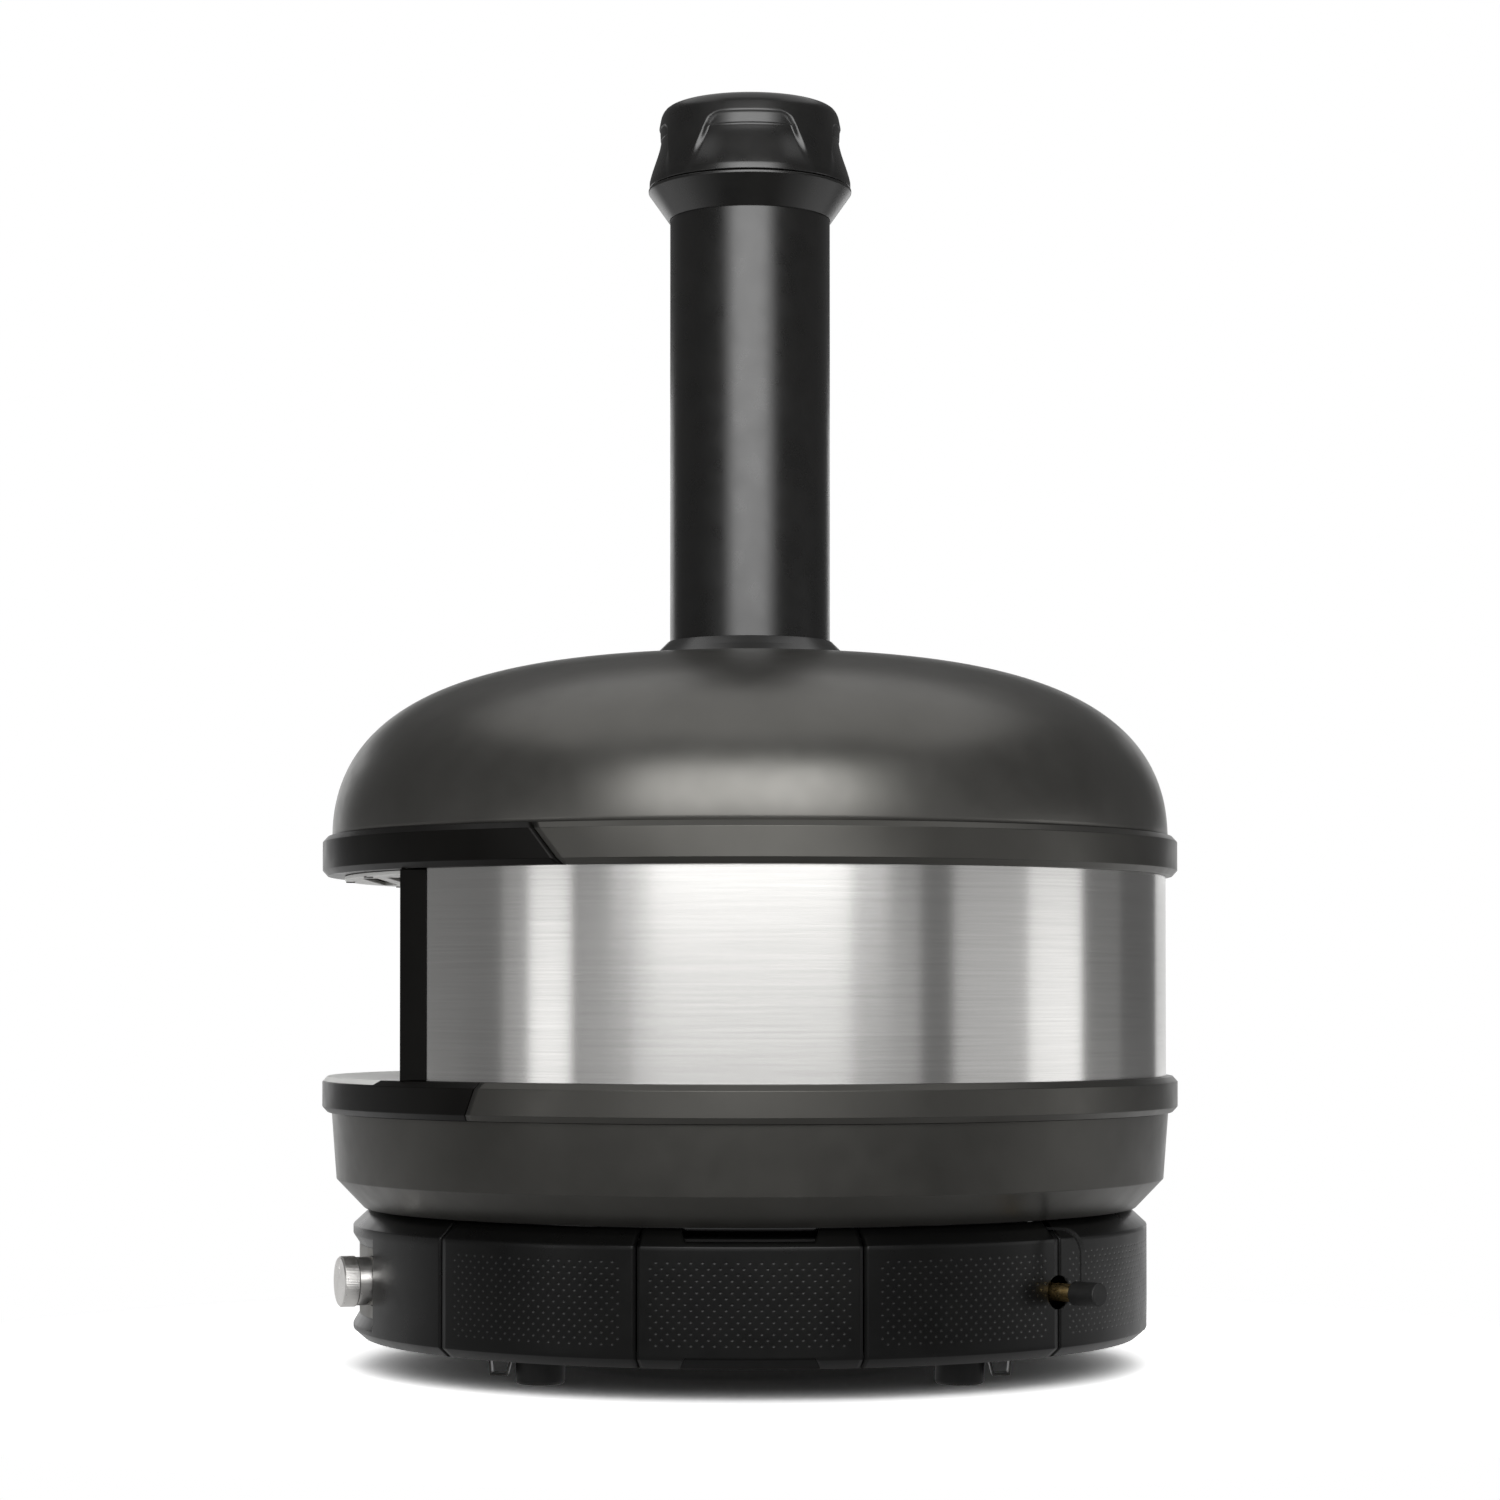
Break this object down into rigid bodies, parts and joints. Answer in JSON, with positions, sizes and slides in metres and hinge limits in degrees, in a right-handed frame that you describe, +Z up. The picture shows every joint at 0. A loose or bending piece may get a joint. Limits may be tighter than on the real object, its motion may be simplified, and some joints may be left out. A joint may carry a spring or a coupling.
{
  "type": "portable pizza oven",
  "caption": "Round gas pizza oven: skirted base with a knob, charcoal bowl, brushed steel wall with an open mouth, domed roof and a tall central flue with a vented cap.",
  "frame": {"origin": "on the ground under the flue's axis", "axes": "+Z up along the flue, -Y out of the mouth, +X towards the side that carries the gas inlet at its rear"},
  "size_m": [0.66, 0.66, 0.9748],
  "materials": {
    "skirt_paint": "satin black powder coat, side and rear panels dimpled",
    "pan_paint": "satin black",
    "foot_rubber": "matt moulded",
    "zinc_steel": "plain sheet and fasteners",
    "shield_gloss": "gloss black",
    "charcoal_paint": "satin charcoal",
    "dome_enamel": "satin charcoal, smooth",
    "black_paint": "satin black",
    "grey_paint": "fine satin light grey",
    "band_steel": "brushed round the body",
    "lining_steel": "mill finish",
    "flue_paint": "satin black",
    "stone": "pressed cordierite",
    "blanket": "ceramic fibre",
    "knob_metal": "turned, satin grip and polished neck",
    "bezel_grey": "satin dark grey",
    "brass": "turned brass",
    "cap_rubber": "matt moulded",
    "igniter_ceramic": "glazed white"
  },
  "bodies": {
    "oven": {"skirt_control_panel": "skirt_paint", "skirt_rear_panel": "skirt_paint", "skirt_right_centre": "skirt_paint", "skirt_right_front": "skirt_paint", "skirt_right_rear": "skirt_paint", "skirt_left_centre": "skirt_paint", "skirt_left_front": "skirt_paint", "skirt_left_rear": "skirt_paint", "base_pan": "pan_paint", "base_deck": "pan_paint", "foot_front_right": "foot_rubber", "foot_rear_right": "foot_rubber", "foot_rear_left": "foot_rubber", "foot_front_left": "foot_rubber", "foot_bolts": "zinc_steel", "foot_straps": "zinc_steel", "base_posts": "zinc_steel", "body_spacers": "zinc_steel", "heat_shield_disc": "shield_gloss", "bowl": "charcoal_paint", "lower_ring_front": "black_paint", "lower_ring_rear": "charcoal_paint", "landing_shelf": "grey_paint", "upper_ring_visor": "black_paint", "upper_ring_rear": "charcoal_paint", "steel_band": "band_steel", "right_jamb": "black_paint", "left_jamb": "black_paint", "mouth_lintel": "black_paint", "mouth_tunnel": "lining_steel", "inner_vault": "lining_steel", "floor_stone_right": "stone", "floor_stone_left": "stone", "throat_stone": "stone", "floor_insulation": "blanket", "wall_insulation": "blanket", "dome_insulation": "blanket", "outer_dome": "dome_enamel", "flue_duct": "lining_steel", "hood_soffit": "grey_paint", "soffit_screws": "zinc_steel", "flue_socket": "flue_paint", "knob_bezel": "bezel_grey", "gas_valve_body": "brass", "gas_brackets": "zinc_steel", "supply_pipe": "zinc_steel", "burner_pipe": "zinc_steel", "burner_tube": "lining_steel", "flame_guard": "lining_steel", "igniter_electrode": "igniter_ceramic", "inlet_nipple": "brass"},
    "flue": {"flue_pipe": "flue_paint", "flue_collar": "flue_paint"},
    "weather_cap": {"flue_cap": "flue_paint"},
    "valve_slide": {"valve_plunger": "brass"},
    "knob": {"gas_knob": "knob_metal", "valve_stem": "zinc_steel"},
    "inlet_cover": {"inlet_cap": "cap_rubber", "cap_tether": "cap_rubber"}
  },
  "joints": [
    {"name": "flue_lift", "type": "slide", "parent": "oven", "child": "flue", "axis": [0, 0, 1], "range_m": [0, 0.045]},
    {"name": "cap_lift", "type": "slide", "parent": "flue", "child": "weather_cap", "axis": [0, 0, 1], "range_m": [0, 0.025]},
    {"name": "knob_push", "type": "slide", "parent": "oven", "child": "valve_slide", "axis": [-0.342, 0.9397, 0], "range_m": [0, 0.004], "stiffness_N_per_m": 600},
    {"name": "knob_turn", "type": "hinge", "parent": "valve_slide", "child": "knob", "pos_m": [0.1115, -0.30634, 0.0715], "axis": [0.342, -0.9397, 0], "range_deg": [0, 180]},
    {"name": "inlet_cap_pull", "type": "slide", "parent": "oven", "child": "inlet_cover", "axis": [0.6884, 0.7254, 0], "range_m": [0, 0.022]}
  ]
}
